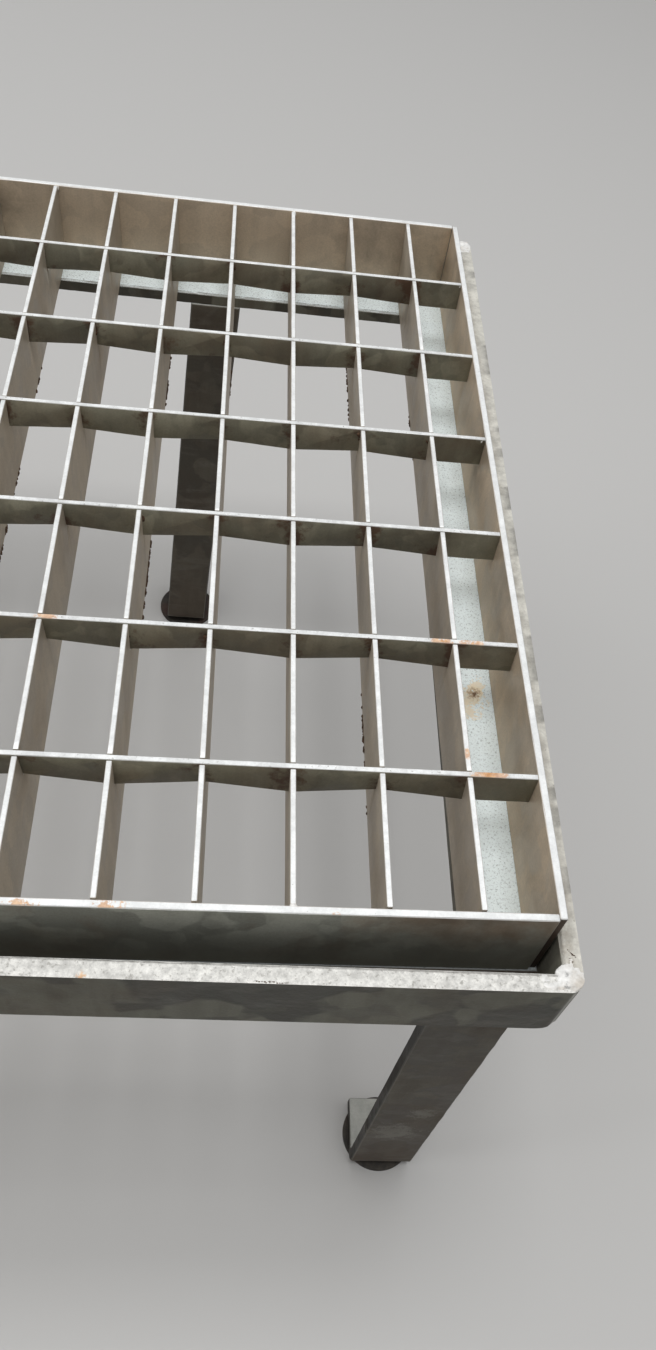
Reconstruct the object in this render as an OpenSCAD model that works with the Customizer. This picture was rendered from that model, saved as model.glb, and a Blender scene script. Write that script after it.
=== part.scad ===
/* [Panel] */
// Length of the loose grating panel, outside its edging strips
panel_l = 984; // [600:1:1500]
// Width of the loose grating panel, front to back
panel_w = 301; // [200:1:500]
// Depth of the bearing bars and the edging strips
bar_h = 30; // [22:0.5:40]
// Thickness of a bearing bar
bar_t = 1.5; // [1.2:0.1:3]
// Spacing of the bearing bars along the length
bar_pitch = 23; // [18:0.5:40]
// Lean of the bearing bars, their lower edges to the right
bar_lean = 2.5; // [0:0.1:4]
// Thickness of the edging strips round the panel
edge_t = 2.1; // [1.5:0.1:4]
// How far the end strips stop short of the long strips' outer faces
edge_recess = 0.6; // [0:0.1:1]
// Gap between a bearing bar's end and the edging strip
bar_end_gap = 0.3; // [0.1:0.05:0.5]

/* [Cross bars] */
// Depth of the cross bars, flush with the top
cross_h = 10.2; // [7:0.2:14]
// Thickness of a cross bar
cross_t = 1.6; // [1.2:0.1:2.5]
// Distance from an edging strip's middle to the first cross bar
end_cell = 39.45; // [20:0.05:60]
// Sideways set of a cross bar's lower edge in the slanted slots
cross_set = 1; // [0.2:0.1:1.5]
// Room all round a cross bar in its slot
slot_room = 0.15; // [0.1:0.05:0.3]

/* [Frame] */
// Width of the angle's lower leg, which carries the panel
angle_w = 25; // [20:1:40]
// Height of the angle's upright leg, outside
angle_h = 25; // [18:1:32]
// Thickness of the angle
angle_t = 5; // [3:0.1:6]
// Rounding of the angle's free edges, inside
angle_toe_r = 1; // [0.4:0.1:2]
// Rounding of the frame's four dressed corners, seen from above
corner_r = 4; // [1:0.5:8]
// Rounding under the frame's four corners
corner_low_r = 3; // [1:0.5:10]
// Play of the panel along the frame, both ends together
play_l = 3.2; // [2:0.1:10]
// Play of the panel across the frame, both sides together
play_w = 9; // [2:0.1:12]
// Least gap where the askew panel nearly touches the rim
panel_touch = 0.3; // [0.1:0.1:0.6]

/* [Legs] */
// Height of the frame's underside above the floor
leg_h = 203; // [100:1:400]
// Thickness of the flat bar that the legs are bent from
leg_t = 5; // [3:0.5:8]
// Width of the front legs
front_leg_w = 25; // [15:1:40]
// Width of the back legs
back_leg_w = 20; // [15:1:40]
// Distance from the frame's end to a front leg
front_leg_end = 1.8; // [0:0.1:60]
// Distance from the frame's front face to a front leg
front_leg_in = 13.1; // [2:0.1:17]
// Distance from the frame's end to a back leg's top
back_leg_end = 92.8; // [10:0.1:150]
// Distance from the frame's back face to a back leg
back_leg_in = 20.6; // [4:0.1:22]
// Lean of the back legs, their feet towards the middle
back_leg_lean = 2.5; // [0:0.1:5]
// Lean of the back legs, their feet towards the front
back_leg_rake = 0.7; // [0:0.1:3]
// Length of the bent foot, from the leg's front face
foot_l = 25; // [20:1:60]
// Radius inside the bend between leg and foot
bend_r = 1; // [0.5:0.5:8]
// Radius of the round pads under the feet
pad_r = 14.5; // [8:0.5:30]
// Thickness of the pads
pad_t = 2; // [1:0.5:8]
// Rounding round the pads' rims
pad_rim_r = 0.8; // [0.2:0.1:1.5]
// Leg length of the fillet welds under the frame
weld_leg = 3.5; // [2:0.5:5]

/* [Hidden] */
$fn = 48;

// Levels above the floor
seat_z = leg_h + angle_t;
top_z = seat_z + bar_h;

// Frame, over its outer faces
frame_l = panel_l + play_l + 2 * angle_t;
frame_w = panel_w + play_w + 2 * angle_t;

// The panel lies askew, as far as its play lets it turn between the rims
askew_by_width = asin((play_w - 2 * panel_touch) / panel_l);
askew_by_length = asin((play_l - 2 * panel_touch) / panel_w);
askew = min(askew_by_width, askew_by_length);

// Cross bars lie evenly between the two end cells
cross_count = 6;
cross_pitch = (panel_w - edge_t - 2 * end_cell) / (cross_count - 1);
cross_l = panel_l - 2 * edge_t;

// Bearing bars fill the length, and an end bay is at least this share of a full one
least_end_bay = 0.45;
bar_count = 1 + floor((panel_l - edge_t) / bar_pitch - 2 * least_end_bay);
bar_groups = 7;
bar_l = panel_w - 2 * (edge_t + bar_end_gap);
// A leaning bar is turned about its top, so it is cut back to stay between the two levels
lean_rise = bar_t / 2 * sin(bar_lean);
bar_deep = (bar_h - 2 * lean_rise) / cos(bar_lean);

function bar_x(i) = (i - (bar_count - 1) / 2) * bar_pitch;
function cross_y(row) = (row - (cross_count + 1) / 2) * cross_pitch;
// Slots slant backwards in one bearing bar and forwards in the next
function set_at(i) = (i % 2 == bar_count % 2 ? 1 : -1) * cross_set;

// One slot in a bearing bar's outline, open at the top, from back to front
function slot_points(y, set) =
    let (half = cross_t / 2 + slot_room, deep = cross_h + slot_room)
    [[y + half, 0], [y + half + set, -deep], [y - half + set, -deep], [y - half, 0]];

// Outline of a bearing bar seen from its side: y, and height from its top
function bar_outline(set) = concat(
    [[-bar_l / 2, 0], [-bar_l / 2, -bar_deep], [bar_l / 2, -bar_deep], [bar_l / 2, 0]],
    [for (row = [cross_count : -1 : 1]) each slot_points(cross_y(row), set)]
);

// Section of a cross bar where it lies in a leaning bar's slot, its lower edge set sideways
function cross_section(x, set) =
    let (low_x = x + cross_h * tan(bar_lean))
    [
        [x, -cross_t / 2, 0],
        [x, cross_t / 2, 0],
        [low_x, cross_t / 2 + set, -cross_h],
        [low_x, -cross_t / 2 + set, -cross_h]
    ];

// Upright section of a cross bar where it ends on an edging strip
function cross_end(x, set) = [
    [x, -cross_t / 2, 0],
    [x, cross_t / 2, 0],
    [x, cross_t / 2 + set, -cross_h],
    [x, -cross_t / 2 + set, -cross_h]
];

// Places what is drawn on the panel's own top face, with its middle on the origin
module in_panel() {
    rotate([0, 0, askew]) translate([0, 0, top_z]) children();
}

module bearing_bar(i) {
    translate([bar_x(i), 0, -lean_rise]) rotate([0, -bar_lean, 0]) translate([-bar_t / 2, 0, 0])
        rotate([90, 0, 90]) linear_extrude(bar_t) polygon(bar_outline(set_at(i)));
}

module bearing_bars(group) {
    color("silver") in_panel()
        for (i = [0 : bar_count - 1])
            if (floor(i * bar_groups / bar_count) == group - 1) bearing_bar(i);
}

// A cross bar is one strip, set to and fro by the slots that it was pressed into
module cross_bar(row) {
    sections = concat(
        [cross_end(-cross_l / 2, set_at(0))],
        [for (i = [0 : bar_count - 1]) cross_section(bar_x(i), set_at(i))],
        [cross_end(cross_l / 2, set_at(bar_count - 1))]
    );
    last = 4 * (len(sections) - 1);
    sides = [
        for (a = [0 : 4 : last - 4], k = [0 : 3])
            let (b = a + 4, n = (k + 1) % 4)
            each [[a + k, a + n, b + n], [a + k, b + n, b + k]]
    ];
    color("slategray") in_panel() translate([0, cross_y(row), 0])
        polyhedron(
            points = [for (section = sections) each section],
            faces = concat([[3, 2, 1, 0]], sides, [[last, last + 1, last + 2, last + 3]])
        );
}

// Edging strip along the panel, between the two end strips
module long_edge(side) {
    color("gainsboro") in_panel()
        translate([-cross_l / 2, side * (panel_w - edge_t) / 2 - edge_t / 2, -bar_h])
            cube([cross_l, edge_t, bar_h]);
}

// Edging strip across the panel's end, over the ends of the long strips and a little short
module end_edge(side) {
    color("gainsboro") in_panel()
        translate([side * (panel_l - edge_t) / 2, 0, -bar_h]) linear_extrude(bar_h)
            square([edge_t, panel_w - 2 * edge_recess], center = true);
}

// Takes a leg's free corner off to a round, the corner given from the outside
module toe_cut(corner) {
    translate(corner - [angle_toe_r, angle_toe_r]) difference() {
        square(2 * angle_toe_r);
        circle(angle_toe_r);
    }
}

// Section of the angle: lower leg along x, upright leg along y, outer faces on the axes
module angle_section() {
    difference() {
        union() {
            square([angle_w, angle_t]);
            square([angle_t, angle_h]);
        }
        toe_cut([angle_w, angle_t]);
        toe_cut([angle_t, angle_h]);
    }
}

module rounded_outline(length, width) {
    square([length - 2 * corner_r, width], center = true);
    square([length, width - 2 * corner_r], center = true);
    for (x = [-1, 1], y = [-1, 1])
        translate([x * (length / 2 - corner_r), y * (width / 2 - corner_r)]) circle(corner_r);
}

// What is ground off under a corner: the corner's tip is at the origin, pointing along x
module corner_waste() {
    rotate([90, 0, 0]) linear_extrude(4 * angle_w, center = true) difference() {
        translate([-corner_low_r, -corner_low_r]) square(2 * corner_low_r);
        translate([-corner_low_r, corner_low_r]) circle(corner_low_r);
        translate([-corner_low_r, corner_low_r]) square([2 * corner_low_r, corner_low_r]);
    }
}

// One side of a frame of this length and width, on its front, with mitred ends
module frame_side(length, width) {
    tip = corner_r / sqrt(2);
    color("darkgray") difference() {
        intersection() {
            translate([-length / 2, -width / 2, leg_h]) rotate([90, 0, 90]) linear_extrude(length)
                angle_section();
            translate([0, 0, leg_h]) linear_extrude(angle_h) intersection() {
                rounded_outline(length, width);
                translate([0, -width / 2]) polygon([
                    [-length / 2, 0],
                    [length / 2, 0],
                    [length / 2 - angle_w, angle_w],
                    [-length / 2 + angle_w, angle_w]
                ]);
            }
        }
        for (side = [-1, 1])
            translate([side * (length / 2 - corner_r + tip), -width / 2 + corner_r - tip, leg_h])
                rotate([0, 0, -90 + side * 45]) corner_waste();
    }
}

// Legs stand on their pads
leg_l = leg_h - pad_t;
bend_top = leg_t + bend_r;

// A leg seen from its side: y from the front face of its top, and height. Its foot stands
// this far before its top
module leg_side(rake_shift) {
    foot_y = -rake_shift * (1 - bend_top / leg_l);
    polygon([[foot_y, bend_top], [foot_y + leg_t, bend_top], [leg_t, leg_l], [0, leg_l]]);
    translate([foot_y, 0]) {
        translate([bend_top, 0]) square([foot_l - bend_top, leg_t]);
        intersection() {
            square(bend_top);
            translate([bend_top, bend_top]) difference() {
                circle(bend_top);
                circle(bend_r);
            }
        }
    }
}

// A leg seen from the front: it leans from its top to a foot that stands this far aside
module leg_front(width, foot_shift) {
    foot_x = foot_shift * (1 - bend_top / leg_l);
    polygon([
        [foot_x - width / 2, 0],
        [foot_x + width / 2, 0],
        [foot_x + width / 2, bend_top],
        [width / 2, leg_l],
        [-width / 2, leg_l],
        [foot_x - width / 2, bend_top]
    ]);
}

// A flat bar from its pad to the frame, bent to a foot that points back. The front face
// of its top lies on y = 0
module leg(width, foot_shift, rake_shift) {
    reach = width + abs(foot_shift);
    depth = foot_l + rake_shift;
    color("dimgray") translate([0, 0, pad_t]) intersection() {
        translate([-reach, 0, 0]) rotate([90, 0, 90]) linear_extrude(2 * reach)
            leg_side(rake_shift);
        rotate([90, 0, 0]) linear_extrude(2 * depth, center = true)
            leg_front(width, foot_shift);
    }
}

// A round pad under the middle of a leg's foot
module pad(foot_shift, rake_shift) {
    foot = 1 - bend_top / leg_l;
    color("black") translate([foot * foot_shift, foot_l / 2 - foot * rake_shift, 0])
        rotate_extrude() {
            square([pad_r - pad_rim_r, pad_t]);
            square([pad_r, pad_t - pad_rim_r]);
            translate([pad_r - pad_rim_r, pad_t - pad_rim_r]) circle(pad_rim_r);
        }
}

// Middle of a leg's top and its front face, from the middle of the frame
front_leg_x = frame_l / 2 - front_leg_end - front_leg_w / 2;
front_leg_y = -frame_w / 2 + front_leg_in;
back_leg_x = frame_l / 2 - back_leg_end - back_leg_w / 2;
back_leg_y = frame_w / 2 - back_leg_in - leg_t;
// How far a back foot stands towards the middle, and towards the front
back_aside = leg_l * tan(back_leg_lean);
back_before = leg_l * tan(back_leg_rake);

module front_leg(side) {
    translate([side * front_leg_x, front_leg_y, 0]) leg(front_leg_w, 0, 0);
}

module back_leg(side) {
    translate([side * back_leg_x, back_leg_y, 0])
        leg(back_leg_w, -side * back_aside, back_before);
}

module front_pad(side) {
    translate([side * front_leg_x, front_leg_y, 0]) pad(0, 0);
}

module back_pad(side) {
    translate([side * back_leg_x, back_leg_y, 0]) pad(-side * back_aside, back_before);
}

// Fillet weld under the frame along the back face of a leg, which leans by this angle
module weld(width, rake) {
    translate([-width / 2, leg_t, leg_h]) rotate([90, 0, 90]) linear_extrude(width)
        polygon([[0, 0], [-weld_leg * tan(rake), -weld_leg], [weld_leg, 0]]);
}

// The same weld along its front face
module front_weld(width) {
    translate([0, leg_t, 0]) mirror([0, 1, 0]) weld(width, 0);
}

module welds_front() {
    color("lightgray") for (side = [-1, 1])
        translate([side * front_leg_x, front_leg_y, 0]) {
            weld(front_leg_w, 0);
            front_weld(front_leg_w);
        }
}

module welds_back() {
    color("lightgray") for (side = [-1, 1])
        translate([side * back_leg_x, back_leg_y, 0]) weld(back_leg_w, back_leg_rake);
}

frame_side(frame_l, frame_w);  // frame_front
rotate([0, 0, 180]) frame_side(frame_l, frame_w);  // frame_back
rotate([0, 0, -90]) frame_side(frame_w, frame_l);  // frame_left
rotate([0, 0, 90]) frame_side(frame_w, frame_l);  // frame_right
long_edge(-1);  // edge_front
long_edge(1);  // edge_back
end_edge(-1);  // edge_left
end_edge(1);  // edge_right
cross_bar(1);  // cross_bar_1
cross_bar(2);  // cross_bar_2
cross_bar(3);  // cross_bar_3
cross_bar(4);  // cross_bar_4
cross_bar(5);  // cross_bar_5
cross_bar(6);  // cross_bar_6
bearing_bars(1);  // bearing_bars_1
bearing_bars(2);  // bearing_bars_2
bearing_bars(3);  // bearing_bars_3
bearing_bars(4);  // bearing_bars_4
bearing_bars(5);  // bearing_bars_5
bearing_bars(6);  // bearing_bars_6
bearing_bars(7);  // bearing_bars_7
front_leg(-1);  // leg_front_left
front_leg(1);  // leg_front_right
back_leg(-1);  // leg_back_left
back_leg(1);  // leg_back_right
front_pad(-1);  // pad_front_left
front_pad(1);  // pad_front_right
back_pad(-1);  // pad_back_left
back_pad(1);  // pad_back_right
welds_front();
welds_back();
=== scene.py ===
"""Looks of a free-standing grating step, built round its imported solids.

A press-locked bar grating lies loose in an angle frame on four flat-bar legs with round
rubber pads. The steel is hot-dip galvanised, weathered, stained and lightly rusted. Every
piece is a worn copy of its solid, or rough weld metal and dirt that the solids leave out.
"""

import math
import random
from collections import namedtuple
from types import SimpleNamespace

import bmesh
import bpy
from mathutils import Matrix, Vector, noise


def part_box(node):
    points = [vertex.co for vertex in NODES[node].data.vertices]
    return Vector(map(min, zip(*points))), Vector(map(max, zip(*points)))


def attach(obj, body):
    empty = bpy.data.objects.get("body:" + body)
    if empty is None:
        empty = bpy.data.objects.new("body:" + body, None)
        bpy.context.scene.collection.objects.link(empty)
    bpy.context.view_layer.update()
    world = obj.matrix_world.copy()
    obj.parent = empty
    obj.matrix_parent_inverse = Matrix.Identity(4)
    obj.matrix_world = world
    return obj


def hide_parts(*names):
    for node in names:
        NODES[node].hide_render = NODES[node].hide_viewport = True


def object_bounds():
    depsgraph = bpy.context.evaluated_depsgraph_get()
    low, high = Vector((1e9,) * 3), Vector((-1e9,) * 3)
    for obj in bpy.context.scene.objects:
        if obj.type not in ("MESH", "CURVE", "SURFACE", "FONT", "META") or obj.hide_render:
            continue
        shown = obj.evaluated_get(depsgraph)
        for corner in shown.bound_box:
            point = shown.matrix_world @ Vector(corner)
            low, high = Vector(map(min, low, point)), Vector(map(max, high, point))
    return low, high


bl_info = {
    "name": "Grating step",
    "version": (1, 0, 0),
    "blender": (4, 5, 0),
    "location": "3D View > Sidebar > Grating step",
    "description": "Dresses a galvanised grating step: worn zinc, stains, rust, welds and stage",
    "category": "Object",
}

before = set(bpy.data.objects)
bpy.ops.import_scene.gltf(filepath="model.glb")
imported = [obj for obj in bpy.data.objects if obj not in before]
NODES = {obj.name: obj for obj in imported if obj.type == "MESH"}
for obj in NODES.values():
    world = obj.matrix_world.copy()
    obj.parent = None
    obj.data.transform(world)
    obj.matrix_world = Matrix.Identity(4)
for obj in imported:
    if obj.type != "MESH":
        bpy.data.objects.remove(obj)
cad_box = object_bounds()


def nodes_named(start):
    return sorted(name for name in NODES if name.startswith(start))


GRATING_BARS = nodes_named("bearing_bars")
CROSS_BARS = nodes_named("cross_bar")
LONG_STRIPS = ["edge_front", "edge_back"]
END_STRIPS = ["edge_left", "edge_right"]
LONG_ANGLES = ["frame_front", "frame_back"]
END_ANGLES = ["frame_left", "frame_right"]
LEGS = nodes_named("leg_")
PADS = nodes_named("pad_")

MM = 0.001
AXES = {"x": Vector((1, 0, 0)), "y": Vector((0, 1, 0)), "z": Vector((0, 0, 1))}

# Levels and edges that the solids give, in metres
PANEL_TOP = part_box("edge_front")[1].z
PANEL_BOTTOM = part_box("edge_front")[0].z
RIM_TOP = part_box("frame_front")[1].z
FRAME_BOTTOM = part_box("frame_front")[0].z
FRAME_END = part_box("frame_right")[1].x
FRAME_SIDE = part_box("frame_back")[1].y
ANGLE_THICK = PANEL_BOTTOM - FRAME_BOTTOM


# Mesh helpers

# Points nearer than this are one, edges sharper than the first angle are eased, and those
# sharper than the second are drawn as edges
SAME_PLACE = 1e-6
ARRIS_ANGLE = math.radians(40)
CREASE_ANGLE = math.radians(24)


def dress(piece, material):
    piece.data.materials.clear()
    piece.data.materials.append(material)


def add_piece(name, mesh, material, replaced=()):
    """Links a finished mesh as a piece of the step, with its finish, and hides the parts it replaces.
    """
    piece = bpy.data.objects.new(name, mesh)
    bpy.context.scene.collection.objects.link(piece)
    dress(piece, material)
    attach(piece, "root")
    if replaced:
        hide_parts(*replaced)
    return piece


def wander(place, size):
    """Even noise from 0 to 1, on two scales."""
    coarse = noise.noise(place / size)
    fine = noise.noise(place / (size * 0.37) + Vector((3.1, 7.7, 1.3)))
    return min(max(0.5 + 0.42 * coarse + 0.25 * fine, 0.0), 1.0)


# A piece's wear: how far apart it is cut, how far its edges are eased, how deep its faces
# and its edges are uneven, and how large that unevenness is
Wear = namedtuple("Wear", "step ease depth edge_depth size")


def slice_along(mesh, axis, step):
    """Cuts a mesh across its length every step, so that its long edges can be uneven."""
    direction = AXES[axis]
    reach = [v.co.dot(direction) for v in mesh.verts]
    near, far = min(reach), max(reach)
    ahead = mesh.verts[:] + mesh.edges[:] + mesh.faces[:]
    for i in range(1, int((far - near) / step)):
        place = near + step * i
        result = bmesh.ops.bisect_plane(
            mesh, geom=ahead, dist=1e-7, plane_co=direction * place, plane_no=direction
        )
        points, rest = [], []
        for item in result["geom"]:
            if not isinstance(item, bmesh.types.BMVert):
                rest.append(item)
            elif item.co.dot(direction) > place + SAME_PLACE:
                points.append(item)
        beyond = set(points)
        ahead = points + [item for item in rest if not beyond.isdisjoint(item.verts)]


def roughen(mesh, wear):
    """Moves points inwards only: a little on flat faces, and more along the arrises."""
    mesh.normal_update()
    moves = []
    for point in mesh.verts:
        flatness = max(abs(value) for value in point.normal)
        edge_share = min(max((1.0 - flatness) / 0.15, 0.0), 1.0)
        reach = wear.depth + (wear.edge_depth - wear.depth) * edge_share
        moves.append(point.normal * (-reach * wander(point.co, wear.size)))
    for point, move in zip(mesh.verts, moves):
        point.co += move


def worn_copy(node, axis, wear):
    """The node's shape with eased, uneven arrises. It stays where the node is."""
    mesh = bmesh.new()
    mesh.from_mesh(NODES[node].data)
    bmesh.ops.remove_doubles(mesh, verts=mesh.verts, dist=SAME_PLACE)
    bmesh.ops.dissolve_limit(mesh, angle_limit=0.01, verts=mesh.verts, edges=mesh.edges)
    arrises = [
        edge
        for edge in mesh.edges
        if edge.is_manifold and edge.calc_face_angle() > ARRIS_ANGLE
    ]
    easing = {"offset": wear.ease, "segments": 2, "profile": 0.5, "affect": "EDGES"}
    bmesh.ops.bevel(mesh, geom=arrises, clamp_overlap=True, **easing)
    slice_along(mesh, axis, wear.step)
    roughen(mesh, wear)
    result = bpy.data.meshes.new(node + "_worn")
    mesh.to_mesh(result)
    mesh.free()
    result.shade_smooth()
    result.set_sharp_from_angle(angle=CREASE_ANGLE)
    return result


def replace_nodes(nodes, axis, wear, material):
    for node in nodes:
        add_piece(node + "_worn", worn_copy(node, axis, wear), material, [node])


def lump(mesh, centre, radii, rough, detail=2):
    """One uneven lump, its surface moved by noise to this share of its size."""
    before = len(mesh.verts)
    place = Matrix.Translation(centre) @ Matrix.Diagonal((*radii, 1.0))
    bmesh.ops.create_icosphere(mesh, subdivisions=detail, radius=1.0, matrix=place)
    mesh.verts.ensure_lookup_table()
    size = max(radii)
    for point in mesh.verts[before:]:
        swell = 1.0 + rough * (wander(point.co, 0.8 * size) - 0.6) * 2.0
        point.co = centre + (point.co - centre) * swell


def skin_over(name, mesh, voxel):
    """One closed skin over overlapping lumps."""
    rough = bpy.data.meshes.new(name + "_lumps")
    mesh.to_mesh(rough)
    mesh.free()
    holder = bpy.data.objects.new(name + "_lumps", rough)
    bpy.context.scene.collection.objects.link(holder)
    remesh = holder.modifiers.new("skin", "REMESH")
    remesh.mode = "VOXEL"
    remesh.voxel_size = voxel
    remesh.use_smooth_shade = True
    graph = bpy.context.evaluated_depsgraph_get()
    result = bpy.data.meshes.new_from_object(holder.evaluated_get(graph))
    result.name = name
    bpy.data.objects.remove(holder)
    bpy.data.meshes.remove(rough)
    return result


# Node helpers

# The Mix node's colour sockets: its two colours, and its result
FIRST_COLOUR, SECOND_COLOUR, MIXED_COLOUR = 6, 7, 2


def feed(tree, socket, value):
    """Links a socket to another one, or sets its value."""
    if isinstance(value, bpy.types.NodeSocket):
        tree.links.new(value, socket)
    else:
        socket.default_value = value


def put(tree, kind, inputs=None, **settings):
    """Adds a node with its settings, and feeds its inputs."""
    node = tree.nodes.new(kind)
    for key, value in settings.items():
        setattr(node, key, value)
    for key, value in (inputs or {}).items():
        feed(tree, node.inputs[key], value)
    return node


def maths(tree, operation, a, b=0.5, clamp=False):
    node = put(tree, "ShaderNodeMath", {0: a, 1: b}, operation=operation, use_clamp=clamp)
    return node.outputs[0]


def times(tree, a, b):
    return maths(tree, "MULTIPLY", a, b)


def plus(tree, a, b):
    return maths(tree, "ADD", a, b)


def minus(tree, a, b):
    return maths(tree, "SUBTRACT", a, b)


def vector_maths(tree, operation, a, b):
    inputs = {0: a, "Scale" if operation == "SCALE" else 1: b}
    node = put(tree, "ShaderNodeVectorMath", inputs, operation=operation)
    return node.outputs["Value" if operation in ("DISTANCE", "DOT_PRODUCT") else "Vector"]


def blend_colour(tree, share, low, high):
    inputs = {"Factor": share, FIRST_COLOUR: low, SECOND_COLOUR: high}
    return put(tree, "ShaderNodeMix", inputs, data_type="RGBA").outputs[MIXED_COLOUR]


def remap(tree, value, low, high, to_low=0.0, to_high=1.0):
    inputs = {"Value": value, "From Min": low, "From Max": high, "To Min": to_low, "To Max": to_high}
    return put(tree, "ShaderNodeMapRange", inputs, clamp=True).outputs["Result"]


def cloud(tree, vector, scale, detail=4.0, rough=0.55, distortion=0.0):
    inputs = {"Vector": vector, "Scale": scale, "Detail": detail, "Roughness": rough}
    node = put(tree, "ShaderNodeTexNoise", {**inputs, "Distortion": distortion})
    return node.outputs["Fac"]


def rgba(colour):
    return (*colour, 1.0)


def darker(colour, share):
    return tuple(value * share for value in colour)


# Colours that several finishes share
# The first colour is grime on stains and pits, and also painted shade in the channel beyond the panel
GRIME_AND_SHADE = (0.052, 0.040, 0.029)
RED_GRIME = (0.062, 0.034, 0.024)
PIT = (0.20, 0.185, 0.16)
STREAK = (0.19, 0.18, 0.155)
RUST_DARK = (0.50, 0.21, 0.07)
RUST_LIGHT = (0.92, 0.58, 0.30)
CROSSING_RUST = (0.10, 0.045, 0.026)
END_DUST = (0.24, 0.20, 0.15)


# Shared effects


def build_spangle(tree, given):
    """Zinc crystals: patches of slightly different tone, with a fine grain over them."""
    wobble = put(tree, "ShaderNodeTexNoise", {"Vector": given["Vector"], "Scale": 90.0})
    push = (7 * MM, 7 * MM, 7 * MM)
    inputs = {0: wobble.outputs["Color"], 1: push, 2: given["Vector"]}
    pushed = put(tree, "ShaderNodeVectorMath", inputs, operation="MULTIPLY_ADD").outputs[0]
    scale = maths(tree, "DIVIDE", 1.0, given["Size"])
    tones = []
    for factor, smooth, channel in ((1.0, 0.25, "Red"), (2.7, 0.3, "Green")):
        inputs = {"Vector": pushed, "Smoothness": smooth}
        inputs["Scale"] = times(tree, scale, factor)
        cells = put(tree, "ShaderNodeTexVoronoi", inputs, feature="SMOOTH_F1")
        split = put(tree, "ShaderNodeSeparateColor", {"Color": cells.outputs["Color"]})
        tones.append(split.outputs[channel])
    coarse = times(tree, tones[0], 0.65)
    fine = times(tree, tones[1], 0.35)
    grain = minus(tree, cloud(tree, given["Vector"], 1500.0, 3.0, 0.7), 0.5)
    return {
        "Tone": plus(tree, coarse, fine),
        "Grain": times(tree, grain, given["Grain"]),
    }


def build_stains(tree, given):
    """Dirt that settled in clouds, and runs that followed the water down."""
    clouds = cloud(tree, given["Vector"], given["Scale"], 6.0, 0.62, 0.4)
    low = minus(tree, 0.78, times(tree, given["Amount"], 0.5))
    high = plus(tree, low, 0.22)
    upright = vector_maths(tree, "MULTIPLY", given["Vector"], (1.0, 1.0, 0.12))
    runs = cloud(tree, upright, times(tree, given["Scale"], 9.0), 4.0, 0.6, 0.2)
    return {"Mask": remap(tree, clouds, low, high), "Runs": remap(tree, runs, 0.42, 0.72)}


def build_pits(tree, given):
    """Dark pits of a rough dip coat, and the height that goes with them."""
    spots = cloud(tree, given["Vector"], given["Scale"], 3.0, 0.65)
    edge = minus(tree, 0.80, times(tree, given["Share"], 0.45))
    lumps = cloud(tree, given["Vector"], times(tree, given["Scale"], 0.35), 3.0, 0.5)
    return {
        "Pits": remap(tree, spots, edge, plus(tree, edge, 0.10)),
        "Height": plus(tree, lumps, times(tree, spots, -0.5)),
    }


def build_rust(tree, given):
    """Loose orange rust bloom, in ragged patches."""
    patches = cloud(tree, given["Vector"], given["Scale"], 5.0, 0.6, 0.6)
    fine = cloud(tree, given["Vector"], 700.0, 4.0, 0.7)
    edge = minus(tree, 0.80, times(tree, given["Amount"], 0.4))
    ragged = times(tree, minus(tree, fine, 0.5), 0.28)
    field = plus(tree, patches, ragged)
    shade = remap(tree, fine, 0.3, 0.7)
    return {
        "Mask": remap(tree, field, edge, plus(tree, edge, 0.12)),
        "Colour": blend_colour(tree, shade, rgba(RUST_DARK), rgba(RUST_LIGHT)),
    }


def build_patch(tree, given):
    """A ragged patch round one place."""
    away = vector_maths(tree, "DISTANCE", given["Vector"], given["Centre"])
    share = maths(tree, "DIVIDE", away, given["Radius"])
    coarse = cloud(tree, given["Vector"], 260.0, 3.0, 0.6)
    fine = cloud(tree, given["Vector"], 1300.0, 3.0, 0.7)
    ragged = plus(tree, coarse, times(tree, fine, 1.1))
    field = plus(tree, share, times(tree, ragged, 2.2))
    return {"Mask": remap(tree, field, 3.15, 2.75)}


def build_facing(tree, given):
    """Which way the bare shape faces: up, inwards on the step, or off along an arris."""
    geometry = put(tree, "ShaderNodeNewGeometry").outputs
    parts = put(tree, "ShaderNodeSeparateXYZ", {"Vector": geometry["True Normal"]}).outputs
    level = vector_maths(tree, "MULTIPLY", geometry["Position"], (1.0, 1.0, 0.0))
    outward = vector_maths(tree, "DOT_PRODUCT", geometry["True Normal"], level)
    sizes = [maths(tree, "ABSOLUTE", parts[key]) for key in "XYZ"]
    largest = maths(tree, "MAXIMUM", maths(tree, "MAXIMUM", sizes[0], sizes[1]), sizes[2])
    top = plus(tree, given["Edge"], 0.2)
    return {
        "Up": remap(tree, parts["Z"], given["Edge"], top),
        "Inward": remap(tree, outward, -0.03, -0.08),
        "Arris": remap(tree, largest, 0.97, 0.88),
        "X": parts["X"],
        "Y": parts["Y"],
    }


def build_fade(tree, given):
    """0 at one height and 1 at the other, with a ragged change between them."""
    height = put(tree, "ShaderNodeSeparateXYZ", {"Vector": given["Vector"]}).outputs["Z"]
    ragged = minus(tree, cloud(tree, given["Vector"], 120.0, 4.0, 0.6), 0.5)
    span = minus(tree, given["To"], given["From"])
    share = maths(tree, "DIVIDE", minus(tree, height, given["From"]), span)
    rough_share = maths(tree, "ADD", share, times(tree, ragged, 0.9), clamp=True)
    return {"Share": rough_share}


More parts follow.
